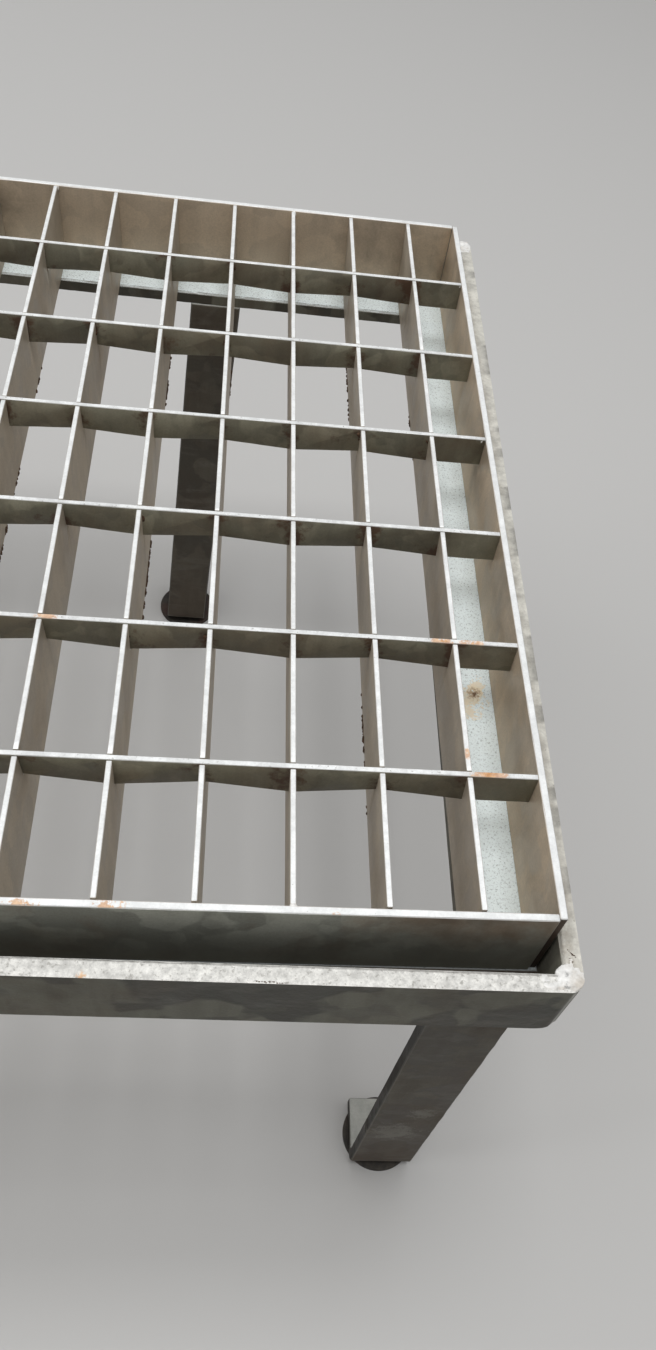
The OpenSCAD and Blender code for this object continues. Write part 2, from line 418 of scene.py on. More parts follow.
# What builds each effect, and its inputs with their usual values
EFFECTS = {
    "Zinc Spangle": (build_spangle, {"Vector": None, "Size": 0.012, "Grain": 0.35}),
    "Stains": (build_stains, {"Vector": None, "Scale": 18.0, "Amount": 0.5}),
    "Zinc Pits": (build_pits, {"Vector": None, "Scale": 900.0, "Share": 0.3}),
    "Rust Bloom": (build_rust, {"Vector": None, "Scale": 30.0, "Amount": 0.2}),
    "Patch": (build_patch, {"Vector": None, "Centre": None, "Radius": 0.005}),
    "Facing": (build_facing, {"Edge": 0.6}),
    "Height Fade": (build_fade, {"Vector": None, "From": 0.0, "To": 0.1}),
}
SOCKETS = {"Vector": "NodeSocketVector", "Centre": "NodeSocketVector", "Colour": "NodeSocketColor"}


def add_socket(group, name, side):
    kind = SOCKETS.get(name, "NodeSocketFloat")
    return group.interface.new_socket(name, in_out=side, socket_type=kind)


def shared(name):
    """The node group of this name, built when it is first asked for."""
    group = bpy.data.node_groups.get(name)
    if group:
        return group
    build, inputs = EFFECTS[name]
    group = bpy.data.node_groups.new(name, "ShaderNodeTree")
    for key, usual in inputs.items():
        socket = add_socket(group, key, "INPUT")
        if usual is not None:
            socket.default_value = usual
    values = build(group, group.nodes.new("NodeGroupInput").outputs)
    for key in values:
        add_socket(group, key, "OUTPUT")
    result = group.nodes.new("NodeGroupOutput").inputs
    for key, value in values.items():
        feed(group, result[key], value)
    return group


class Coat:
    """A Principled material whose colour is laid down in layers, one over another."""

    def __init__(self, name):
        self.material = bpy.data.materials.new(name)
        self.material.use_nodes = True
        self.tree = self.material.node_tree
        self.tree.nodes.clear()
        out = put(self.tree, "ShaderNodeOutputMaterial")
        self.shader = put(self.tree, "ShaderNodeBsdfPrincipled")
        self.tree.links.new(self.shader.outputs[0], out.inputs["Surface"])
        self.place = put(self.tree, "ShaderNodeTexCoord").outputs["Object"]
        self.colour = None

    def effect(self, name, **values):
        node = put(self.tree, "ShaderNodeGroup", node_tree=shared(name))
        if "Vector" in node.inputs:
            feed(self.tree, node.inputs["Vector"], self.place)
        for key, value in values.items():
            feed(self.tree, node.inputs[key], value)
        return node.outputs

    def mottle(self, share, low, high, grain):
        """Two tones of one colour, with the grain over both."""
        mixed = blend_colour(self.tree, share, rgba(low), rgba(high))
        return vector_maths(self.tree, "SCALE", mixed, plus(self.tree, grain, 1.0))

    def layer(self, mask, colour, share=1.0):
        paint = colour if isinstance(colour, bpy.types.NodeSocket) else rgba(colour)
        self.colour = blend_colour(self.tree, times(self.tree, mask, share), self.colour, paint)

    def finish(self, rough, height=None, strength=0.0, distance=0.0, metal=0.0):
        """Joins the laid colour, roughness, metal share and relief to the shader."""
        surface = {"Base Color": self.colour, "Roughness": rough, "Metallic": metal}
        if height is not None:
            relief = {"Height": height, "Strength": strength, "Distance": distance}
            surface["Normal"] = put(self.tree, "ShaderNodeBump", relief).outputs["Normal"]
        for key, value in surface.items():
            feed(self.tree, self.shader.inputs[key], value)


# A zinc finish's usual values, of which each finish changes some
ZINC = dict(
    second=0.72, spangle=0.011, grain=0.5, haze=((0.11, 0.07, 0.045), 0.45), inner=None, low=None,
    streaks=0.0, ends=None, stain=0.45, stain_share=0.6, corners=0.0, runs=0.35, arris=0.3,
    top_second=0.78, top_size=7 * MM, top_grain=0.5, top_pits=0.25, top_pit_share=0.6,
    shelf=None, collar=0.0, marks=(), rust=0.10, spots=(), rough=0.5, metal=0.2, depth=0.12,
)
SPECULAR = 0.25


def patch_at(coat, x, y, z, radius):
    """A ragged patch round a place, given in millimetres."""
    centre = (x * MM, y * MM, z * MM)
    return coat.effect("Patch", Centre=centre, Radius=radius * MM)["Mask"]


def zinc_side(coat, side, top, given, spangle, facing):
    """The dull upright faces: crystals, haze, stains and runs, paler along an arris."""
    tree = coat.tree
    tone = remap(tree, spangle["Tone"], 0.36, 0.62)
    coat.colour = coat.mottle(tone, darker(side, given.second), side, spangle["Grain"])
    haze = remap(tree, cloud(tree, coat.place, 28.0, 5.0, 0.6, 0.3), 0.46, 0.64)
    coat.layer(haze, *given.haze)
    # A colour that fades in towards the bottom; on the edging strips it is painted shade
    if given.low:
        low_colour, start, end = given.low
        coat.layer(coat.effect("Height Fade", From=start, To=end)["Share"], low_colour, 0.85)
    # Faces that look in towards the step get another colour: on the edging strips a paler one, which is
    # painted light
    if given.inner:
        inner = coat.mottle(tone, darker(given.inner, 0.88), given.inner, spangle["Grain"])
        coat.layer(facing["Inward"], inner)
    if given.streaks:
        level = vector_maths(tree, "MULTIPLY", coat.place, (0.35, 0.35, 1.0))
        streaks = remap(tree, cloud(tree, level, 130.0, 5.0, 0.65, 0.8), 0.52, 0.70)
        coat.layer(streaks, STREAK, given.streaks)
    # Faces that look along one axis get another colour: painted shade on the legs' narrow sides, red
    # brown on the strips' end faces
    if given.ends:
        axis, end_colour = given.ends
        ends = remap(tree, maths(tree, "ABSOLUTE", facing[axis]), 0.6, 0.8)
        coat.layer(ends, end_colour, 0.9)
    stains = coat.effect("Stains", Amount=given.stain)
    coat.layer(stains["Mask"], GRIME_AND_SHADE, given.stain_share)
    if given.corners:
        corner_rust(coat, given.corners)
    coat.layer(stains["Runs"], GRIME_AND_SHADE, given.runs)
    specks = coat.effect("Zinc Pits", Scale=1500.0, Share=0.16)
    coat.layer(specks["Pits"], GRIME_AND_SHADE, 0.7)
    coat.layer(facing["Arris"], top, given.arris)
    return coat.colour


def zinc_top(coat, top, given, spangle, pits):
    """The faces that look up: bright, with grime, grain and dark pits."""
    tree = coat.tree
    grime = cloud(tree, coat.place, 1.0 / given.top_size, 6.0, 0.7)
    tone = remap(tree, grime, 0.38, 0.62)
    grain = times(tree, spangle["Grain"], given.top_grain)
    coat.colour = coat.mottle(tone, darker(top, given.top_second), top, grain)
    coat.layer(pits["Pits"], PIT, given.top_pit_share)
    if given.shelf:
        shelf_layers(coat, given)
    return coat.colour


def zinc_coat(name, side, top, **changes):
    """Weathered zinc: a dull side colour, and a bright one where it looks up."""
    given = SimpleNamespace(**{**ZINC, **changes})
    coat = Coat(name)
    tree = coat.tree
    spangle = coat.effect("Zinc Spangle", Size=given.spangle, Grain=given.grain)
    pits = coat.effect("Zinc Pits", Share=given.top_pits)
    facing = coat.effect("Facing")
    side_colour = zinc_side(coat, side, top, given, spangle, facing)
    top_colour = zinc_top(coat, top, given, spangle, pits)
    coat.colour = blend_colour(tree, facing["Up"], side_colour, top_colour)
    for *place, colour in given.marks:
        coat.layer(patch_at(coat, *place), colour, 0.85)

    rust = coat.effect("Rust Bloom", Amount=given.rust)
    coat.layer(rust["Mask"], rust["Colour"], 0.9)
    rusty = rust["Mask"]
    for place in given.spots:
        spot = times(tree, patch_at(coat, *place), facing["Up"])
        coat.layer(spot, rust["Colour"], 0.75)
        rusty = maths(tree, "MAXIMUM", rusty, spot)

    shine = remap(tree, spangle["Tone"], 0.2, 0.8, given.rough - 0.08, given.rough + 0.12)
    metal = remap(tree, rusty, 0.0, 1.0, given.metal, 0.0)
    coat.shader.inputs["Specular IOR Level"].default_value = SPECULAR
    coat.finish(maths(tree, "MAXIMUM", shine, rusty), pits["Height"], 0.6, given.depth * MM, metal)
    return coat.material


def panel_parts(coat):
    """Distances along and across the panel from its middle, as it lies."""
    settings = {"Vector": coat.place, "Center": PANEL_CENTRE, "Angle": -PANEL_TURN}
    turned = put(coat.tree, "ShaderNodeVectorRotate", settings, rotation_type="Z_AXIS").outputs[0]
    offset = vector_maths(coat.tree, "SUBTRACT", turned, PANEL_CENTRE)
    return put(coat.tree, "ShaderNodeSeparateXYZ", {"Vector": offset}).outputs


def corner_rust(coat, share):
    """Red brown stains on the cross bars, where they meet the bearing bars."""
    tree = coat.tree
    along = maths(tree, "DIVIDE", panel_parts(coat)["X"], BAR_PITCH)
    between = maths(tree, "FRACT", plus(tree, along, 0.5 * ((len(BAR_LINES) + 1) % 2)))
    near = remap(tree, maths(tree, "ABSOLUTE", minus(tree, between, 0.5)), 0.1, 0.5)
    ragged = cloud(tree, coat.place, 75.0, 5.0, 0.7)
    field = plus(tree, ragged, times(tree, near, 0.2))
    coat.layer(remap(tree, field, 0.66, 0.76), CROSSING_RUST, share)


def shelf_layers(coat, given):
    """The angle's lower leg: bluish zinc, finely speckled, and dark with painted shade beyond the
    panel.
    """
    tree = coat.tree
    colour = given.shelf
    edges = [maths(tree, "ABSOLUTE", panel_parts(coat)[key]) for key in "XY"]
    if given.collar:
        near = remap(tree, edges[0], PANEL_HALF[0] + 7 * MM, PANEL_HALF[0] + 3 * MM)
        ragged = remap(tree, cloud(tree, coat.place, 170.0, 5.0, 0.7), 0.38, 0.6)
        coat.layer(times(tree, near, ragged), END_DUST, given.collar)
    speckle = remap(tree, cloud(tree, coat.place, 1500.0, 4.0, 0.8, 0.5), 0.36, 0.47)
    shade = remap(tree, cloud(tree, coat.place, 60.0, 4.0, 0.6, 0.3), 0.28, 0.44)
    tones = [rgba(darker(colour, share)) for share in (0.36, 0.50, 0.9, 1.0)]
    dull = blend_colour(tree, speckle, tones[0], tones[2])
    pale = blend_colour(tree, speckle, tones[1], tones[3])
    zinc = blend_colour(tree, shade, dull, pale)
    spots = coat.effect("Zinc Pits", Scale=420.0, Share=0.22)
    zinc = blend_colour(tree, times(tree, spots["Pits"], 0.8), zinc, rgba(PIT))
    # Painted shade: the lower leg dark in the narrow channel between the panel and the rim
    beyond = [remap(tree, x, edge, edge + 1.5 * MM) for x, edge in zip(edges, PANEL_HALF)]
    zinc = blend_colour(tree, maths(tree, "MAXIMUM", *beyond), zinc, rgba(GRIME_AND_SHADE))
    level = put(tree, "ShaderNodeSeparateXYZ", {"Vector": coat.place}).outputs["Z"]
    coat.layer(remap(tree, level, PANEL_BOTTOM + 2 * MM, PANEL_BOTTOM + MM), zinc)


def plain_coat(name, low, high, rough, size, bump_depth, tint=None):
    """A dull uneven surface of two tones, with a tint over part of it."""
    coat = Coat(name)
    tree = coat.tree
    patches = remap(tree, cloud(tree, coat.place, 1.0 / size, 6.0, 0.68, 0.5), 0.35, 0.65)
    coat.colour = blend_colour(tree, patches, rgba(low), rgba(high))
    if tint:
        cover = remap(tree, cloud(tree, coat.place, 0.3 / size, 4.0, 0.6), 0.50, 0.66)
        coat.layer(cover, tint, 0.6)
    pits = coat.effect("Zinc Pits", Scale=0.9 / size, Share=0.45)
    coat.layer(pits["Pits"], darker(low, 0.45), 0.8)
    coat.finish(rough, pits["Height"], 0.8, bump_depth)
    return coat.material


def rubber_coat(colour):
    """Matt rubber with reddish stains and pale dust."""
    coat = Coat("Pad rubber")
    tree = coat.tree
    stain = remap(tree, cloud(tree, coat.place, 70.0, 3.0, 0.5), 0.45, 0.6)
    dust = remap(tree, cloud(tree, coat.place, 160.0, 6.0, 0.7, 0.4), 0.42, 0.72)
    coat.colour = rgba(colour)
    coat.layer(stain, (0.085, 0.032, 0.022), 0.5)
    coat.layer(dust, (0.10, 0.085, 0.066), 0.6)
    coat.finish(0.8)
    return coat.material


# Properties


def number_property(name, description, default, **settings):
    """A number that a user can change, or several where the default has several."""
    settings = {"name": name, "description": description, "default": default, **settings}
    if isinstance(default, tuple):
        return bpy.props.FloatVectorProperty(size=len(default), **settings)
    return bpy.props.FloatProperty(**settings)


def colour_property(name, description, default):
    return number_property(name, description, default, subtype="COLOR", min=0.0, max=1.0)


def length_property(name, description, default):
    settings = {"subtype": "DISTANCE", "unit": "LENGTH", "min": 0.0, "precision": 5}
    return number_property(name, description, default, **settings)


class PanelLook(bpy.types.PropertyGroup):
    """The loose grating panel: bars, cross bars and edging strips."""

    top: colour_property("Worn tops", "Bright zinc along the trodden edges", (0.92, 0.935, 0.93))
    # Painted light: the bar sides' colour set paler than the cross bars' to stand for the light on
    # faces that look to the sides
    bar_side: colour_property("Bar sides", "Film on the bearing bars", (0.53, 0.465, 0.375))
    cross_side: colour_property("Cross bar sides", "Grime on the cross bars", (0.29, 0.275, 0.205))
    strip_face: colour_property("Strip faces", "Outside of the strips", (0.43, 0.435, 0.375))
    # Painted light: the strips' inner faces paler than their outer faces
    strip_inside: colour_property("Strip insides", "Inside of the strips", (0.64, 0.525, 0.395))
    bar_ease: length_property("Bar arris", "How far a bar's edges are eased", 0.2 * MM)
    strip_ease: length_property("Strip arris", "How far a strip's edges are eased", 0.3 * MM)
    roughness: length_property("Unevenness", "How uneven the bars' edges are", 0.14 * MM)


class FrameLook(bpy.types.PropertyGroup):
    """The angle frame, its legs and their pads."""

    rim_top: colour_property("Rim top", "Rough pale zinc on the rim", (0.85, 0.84, 0.80))
    end_top: colour_property("End rim top", "Creamier zinc at the ends", (0.80, 0.78, 0.71))
    face: colour_property("Frame faces", "Olive grey patina on upright faces", (0.165, 0.163, 0.13))
    shelf: colour_property("Lower leg", "Bluish zinc under the panel", (0.90, 0.99, 1.0))
    leg_face: colour_property("Leg faces", "Dark brown grey on the legs", (0.110, 0.098, 0.077))
    # Painted light: the feet's upper faces paler than the legs' faces, as if lit from above
    foot_top: colour_property("Feet", "Paler zinc on top of the feet", (0.50, 0.505, 0.47))
    rubber: colour_property("Pads", "Dusty black rubber", (0.030, 0.027, 0.024))
    ease: length_property("Angle arris", "How far the angle's edges are eased", 0.6 * MM)
    roughness: length_property("Unevenness", "How uneven the angle's edges are", 0.4 * MM)


class WeldLook(bpy.types.PropertyGroup):
    """Weld metal and dirt."""

    metal: colour_property("Weld metal", "Rough zinc on the welds", (0.93, 0.925, 0.90))
    dirt: colour_property("Dirt", "Rusty crumbs in the corners", (0.115, 0.062, 0.034))
    dirt_share: number_property(
        "Dirty crossings", "Share of the crossings with dirt", 0.5, subtype="FACTOR", min=0.0, max=1.0
    )
    tack_every: bpy.props.IntProperty(
        name="Tack spacing", description="Bars from one tack weld to the next", default=4, min=1
    )


class StageLook(bpy.types.PropertyGroup):
    """Floor, lights and camera."""

    floor: colour_property("Floor", "Plain pale floor", (0.58, 0.575, 0.565))
    sky: number_property("Room light", "Strength of the even light from all round", 0.3, min=0.0)
    key_power: number_property(
        "Key light", "Power of the large soft light behind and above", 3.0, subtype="POWER", min=0.0
    )
    top_power: number_property(
        "Top lights", "Power of the soft light overhead, and over the left end", (20.5, 4.5), min=0.0
    )
    side_power: number_property(
        "Side lights", "Power of the soft light beyond the left end and the right", (14.0, 2.6), min=0.0
    )
    camera_place: number_property(
        "Camera", "Where the camera stands", (0.405236, -0.255785, 0.474487), subtype="TRANSLATION"
    )
    camera_turn: number_property(
        "Camera turn",
        "How the camera is turned",
        tuple(math.radians(angle) for angle in (37.1246, -7.5978, -1.1377)),
        subtype="EULER",
    )
    lens: number_property(
        "Lens", "Focal length on the sensor", 29.26, subtype="DISTANCE_CAMERA", min=1.0
    )


# Panel

# Rust flecks: x, y and height in millimetres, and radius
CROSS_RUST = (
    (467.2, -63.1, 238, 3),
    (469.8, -63.1, 238, 2.4),
    (475.4, -63.1, 238, 3.4),
    (478.6, -63.1, 238, 3.2),
    (475.8, -106.6, 238, 3.6),
    (479.6, -106.6, 238, 3.4),
    (359.1, -63.3, 238, 3),
)
BAR_RUST = ((472.2, -100.2, 238, 2.5),)
STRIP_RUST = (
    (364.6, -147.6, 238, 3),
    (367.2, -148.2, 238, 2.5),
    (383.8, -147.6, 238, 3.5),
    (387.0, -148.2, 238, 3),
    (437.3, -147.3, 238, 1.5),
)
FRAME_RUST = ((379.4, -160.0, 228, 1.5),)

# Flaking dirt on the lower leg, and smears on a leg: the same, and a colour
FLAKES = (
    (485.6, -55.0, 208, 3.5, (0.86, 0.77, 0.60)),
    (483.6, -59.0, 208, 5.5, (0.84, 0.74, 0.55)),
    (482.6, -64.0, 208, 4.2, (0.90, 0.80, 0.62)),
    (484.3, -57.9, 208, 2.4, (0.46, 0.34, 0.22)),
    (484.9, -57.9, 208, 1.1, (0.12, 0.06, 0.03)),
)
SMEARS = (
    (482.0, -147.0, 52, 12, (0.17, 0.16, 0.135)),
    (488.8, -147.0, 76, 7, (0.155, 0.145, 0.12)),
)


class GRATING_OT_panel(bpy.types.Operator):
    """Worn bars, cross bars and edging strips"""

    bl_idname = "grating.panel"
    bl_label = "Grating panel"

    def execute(self, context):
        look = context.scene.panel_look
        top = tuple(look.top)
        bar_wear = Wear(3 * MM, look.bar_ease, 0.03 * MM, look.roughness, 5 * MM)
        strip_wear = bar_wear._replace(ease=look.strip_ease, edge_depth=1.3 * look.roughness)
        bars = zinc_coat(
            "Bearing bar zinc", tuple(look.bar_side), top, spots=BAR_RUST,
            second=0.84, haze=((0.30, 0.235, 0.17), 0.35), stain=0.35, stain_share=0.4,
            runs=0.12, arris=0.12, top_second=0.84, top_size=4 * MM, top_pits=0.3,
        )
        crosses = zinc_coat(
            "Cross bar zinc", tuple(look.cross_side), top, spots=CROSS_RUST, rust=0.16,
            haze=((0.17, 0.115, 0.07), 0.45), corners=0.8, runs=0.25, arris=0.15,
            top_size=4 * MM, top_pits=0.4,
        )
        strip_changes = dict(
            # inner: painted light, the strips' inner faces paler than their outer faces
            spots=STRIP_RUST, haze=((0.24, 0.14, 0.075), 0.6), inner=tuple(look.strip_inside),
            # low: painted shade, the strips' outer faces darker towards their lower edges, down in the
            # gap by the rim
            low=((0.35, 0.36, 0.305), PANEL_TOP - 8 * MM, PANEL_BOTTOM),
            runs=0.12, arris=0.25, top_second=0.86, top_size=4 * MM,
        )
        replace_nodes(GRATING_BARS, "y", bar_wear, bars)
        replace_nodes(CROSS_BARS, "x", bar_wear, crosses)
        for strips, axis in ((LONG_STRIPS, "x"), (END_STRIPS, "y")):
            ends = (axis.upper(), RED_GRIME)
            face = tuple(look.strip_face)
            coat = zinc_coat("Edging zinc " + axis, face, top, ends=ends, **strip_changes)
            replace_nodes(strips, axis, strip_wear, coat)
        return {"FINISHED"}


# Frame and legs


class GRATING_OT_frame(bpy.types.Operator):
    """Worn angle frame"""

    bl_idname = "grating.frame"
    bl_label = "Angle frame"

    def execute(self, context):
        look = context.scene.frame_look
        wear = Wear(1.6 * MM, look.ease, 0.05 * MM, look.roughness, 4 * MM)
        rough = dict(
            spangle=0.021, second=0.35, haze=((0.10, 0.068, 0.038), 0.4), streaks=0.35,
            stain=0.5, arris=0.35, top_second=0.66, top_size=2.4 * MM, top_grain=0.9,
            top_pits=0.52, top_pit_share=0.5, shelf=tuple(look.shelf), marks=FLAKES,
            spots=FRAME_RUST, rough=0.55, metal=0.1, depth=0.3,
        )
        face = tuple(look.face)
        zinc = zinc_coat("Frame zinc", face, tuple(look.rim_top), **rough)
        replace_nodes(LONG_ANGLES, "x", wear, zinc)
        even = {**rough, "top_size": 6 * MM, "top_grain": 0.5, "top_pits": 0.36, "collar": 0.7}
        zinc = zinc_coat("Frame end zinc", face, tuple(look.end_top), **even)
        wear = wear._replace(edge_depth=0.4 * look.roughness, size=2 * wear.size)
        replace_nodes(END_ANGLES, "y", wear, zinc)
        return {"FINISHED"}


class GRATING_OT_legs(bpy.types.Operator):
    """Worn flat-bar legs and the rubber pads under them"""

    bl_idname = "grating.legs"
    bl_label = "Legs and pads"

    def execute(self, context):
        look = context.scene.frame_look
        wear = Wear(2.5 * MM, look.ease, 0.08 * MM, 0.8 * look.roughness, 9 * MM)
        zinc = zinc_coat(
            "Leg zinc", tuple(look.leg_face), tuple(look.foot_top), marks=SMEARS,
            spangle=0.016, second=0.65, haze=((0.065, 0.042, 0.028), 0.5),
            low=((0.10, 0.078, 0.058), 70 * MM, 0.0), streaks=0.3,
            # Painted shade: the legs' narrow sides near black
            ends=("X", darker(look.leg_face, 0.12)), arris=0.1, top_pits=0.3,
            rough=0.58, metal=0.15,
        )
        replace_nodes(LEGS, "z", wear, zinc)
        rubber = rubber_coat(look.rubber)
        for node in PADS:
            dress(NODES[node], rubber)
        return {"FINISHED"}


# Welds and dirt

# How fine the skins over the lumps are
CORNER_GRAIN = 0.32 * MM
SEAM_GRAIN = 0.5 * MM
BEAD_GRAIN = 0.45 * MM
TACK_GRAIN = 0.3 * MM

# What the random draws start from
WELD_SEED = 5
DIRT_SEED = 11

# The stain on bright weld metal, the dull seams' two tones, and the corners' ground radius
WELD_STAIN = (0.52, 0.45, 0.36)
SEAM_TONES = ((0.10, 0.10, 0.088), (0.20, 0.20, 0.18))
GROUND_RADIUS = 4.5 * MM

# How far dirt lies from the middle of a bearing bar, and of a cross bar, in millimetres
BESIDE_BAR = 0.75
BESIDE_CROSS = 0.85


def solids_of(node):
    """The places of each separate solid's points, left to right."""
    mesh = bmesh.new()
    mesh.from_mesh(NODES[node].data)
    bmesh.ops.remove_doubles(mesh, verts=mesh.verts, dist=SAME_PLACE)
    waiting = set(mesh.verts)
    solids = []
    while waiting:
        found = [waiting.pop()]
        for point in found:
            near = waiting.intersection(link.other_vert(point) for link in point.link_edges)
            waiting -= near
            found += near
        solids.append(sorted((point.co.copy() for point in found), key=tuple))
    mesh.free()
    return sorted(solids, key=lambda places: min((p.x, p.y) for p in places))


def edge_ends(places, axis, pick=max):
    """Middle of the solid's upper edge, or lower, at its two ends along this axis."""
    height = pick(place.z for place in places)
    level = [place for place in places if abs(place.z - height) < 0.1 * MM]
    reach = [getattr(place, axis) for place in level]
    ends = []
    for end in (min(reach), max(reach)):
        near = [place for place in level if abs(getattr(place, axis) - end) < 0.3 * MM]
        ends.append(sum(near, Vector()) / len(near))
    return ends


def crossing(first, second):
    """Where two level lines cross, each given by its ends."""
    a, b = first[1] - first[0], second[1] - second[0]
    gap = second[0] - first[0]
    share = (gap.x * b.y - gap.y * b.x) / (a.x * b.y - a.y * b.x)
    return first[0] + a * share


BARS = [solid for node in GRATING_BARS for solid in solids_of(node)]
BAR_LINES = sorted((edge_ends(bar, "y") for bar in BARS), key=lambda ends: ends[0].x)
BAR_FEET = [edge_ends(bar, "y", min) for bar in BARS]
CROSS_LINES = [edge_ends(solid, "x") for node in CROSS_BARS for solid in solids_of(node)]
BAR_PITCH = (BAR_LINES[-1][0] - BAR_LINES[0][0]).length / (len(BAR_LINES) - 1)
STRIP_LINES = [
    edge_ends(solids_of(node)[0], "xy"[node in END_STRIPS]) for node in LONG_STRIPS + END_STRIPS
]

# The panel lies askew in its frame: its middle, its turn and half its sizes to mid-strip
PANEL_CENTRE = sum((end for ends in STRIP_LINES[:2] for end in ends), Vector()) / 4
PANEL_TURN = math.atan2(*(STRIP_LINES[0][1] - STRIP_LINES[0][0]).yx)
PANEL_HALF = [
    (sum(far, Vector()) - sum(near, Vector())).length / 4
    for near, far in (STRIP_LINES[2:], STRIP_LINES[:2])
]


def corner_metal(mesh, chance, side_x, side_y):
    """Weld metal at one corner of the frame: a fillet inside, and lumps on the rim."""

    def lay(along, across, up, radii, rough=0.3):
        out = Vector((side_x * (FRAME_END - along * MM), side_y * (FRAME_SIDE - across * MM), 0))
        lump(mesh, out + Vector((0, 0, RIM_TOP + up * MM)), [v * MM for v in radii], rough)

    thick = ANGLE_THICK / MM
    drop = (RIM_TOP - PANEL_BOTTOM) / MM
    # A fillet up the inside corner
    for i in range(18):
        up = -drop + (drop - 0.8) * i / 17
        size = chance.uniform(1.0, 1.6)
        shift = thick + chance.uniform(0.1, 0.6)
        lay(shift, shift, up, (size, size, size))
    # Across the inside corner, just under the rim
    for i in range(6):
        share = i / 5
        size = chance.uniform(0.7, 1.1)
        across = 6.6 - 1.6 * share
        lay(5.0 + 1.6 * share, across, chance.uniform(-1.0, -0.4), (size, size, 0.8))
    # Lumps on both rims, fewer and smaller away from the corner
    for reach, swapped in ((12, False), (8, True)):
        for _ in range(3 * reach):
            along = 1.2 + reach * chance.random() ** 1.5
            keep = 1.15 - along / (reach + 3)
            size = chance.uniform(1.1, 2.3) * keep + 0.2
            across = chance.uniform(1.0, 4.0)
            place = (across, along) if swapped else (along, across)
            lay(*place, -0.15, (size * 1.3, size, chance.uniform(0.4, 1.25) * keep + 0.1), 0.4)
    # Down the outside corner
    for i in range(6):
        size = chance.uniform(0.9, 1.5)
        lay(1.6, 1.6 + chance.uniform(-0.4, 0.4), -0.9 * i, (size, size, 0.9 * size))
    # Drops on the lower leg, along the front or back
    for _ in range(10):
        along = chance.uniform(thick + 1, thick + 12)
        across = thick + chance.uniform(0.5, 2.6)
        size = chance.uniform(0.6, 1.3)
        lay(along, across, -drop, (size * 1.2, size, size), 0.45)


def frame_seam(mesh, chance, side_x, side_y):
    """The weld across the mitre, under the frame."""
    along = 4.5
    while along < 23.0:
        centre = Vector(
            (side_x * (FRAME_END - along * MM), side_y * (FRAME_SIDE - along * MM), FRAME_BOTTOM)
        )
        size = chance.uniform(1.3, 1.9)
        lump(mesh, centre, (size * MM, size * MM, 0.5 * MM), 0.25)
        along += 1.1


def keep_in_box(mesh, low, high):
    """Flattens what stands out of the solids' box, as if it had been ground flush."""
    for point in mesh.vertices:
        point.co = [min(max(v, a), b) for v, a, b in zip(point.co, low, high)]


def pit_surface(mesh, size, depth):
    """Uneven hollows all over, as a zinc bath leaves them on weld metal."""
    moves = [point.normal * (-depth * wander(point.co, size)) for point in mesh.vertices]
    for point, move in zip(mesh.vertices, moves):
        point.co += move


def round_corner(mesh, radius):
    """Draws back what stands out of the frame's rounded corner."""
    for point in mesh.vertices:
        x, y = abs(point.co.x) - FRAME_END + radius, abs(point.co.y) - FRAME_SIDE + radius
        away = math.hypot(x, y)
        if x > 0 and y > 0 and away > radius:
            point.co.x -= math.copysign(x * (1 - radius / away), point.co.x)
            point.co.y -= math.copysign(y * (1 - radius / away), point.co.y)


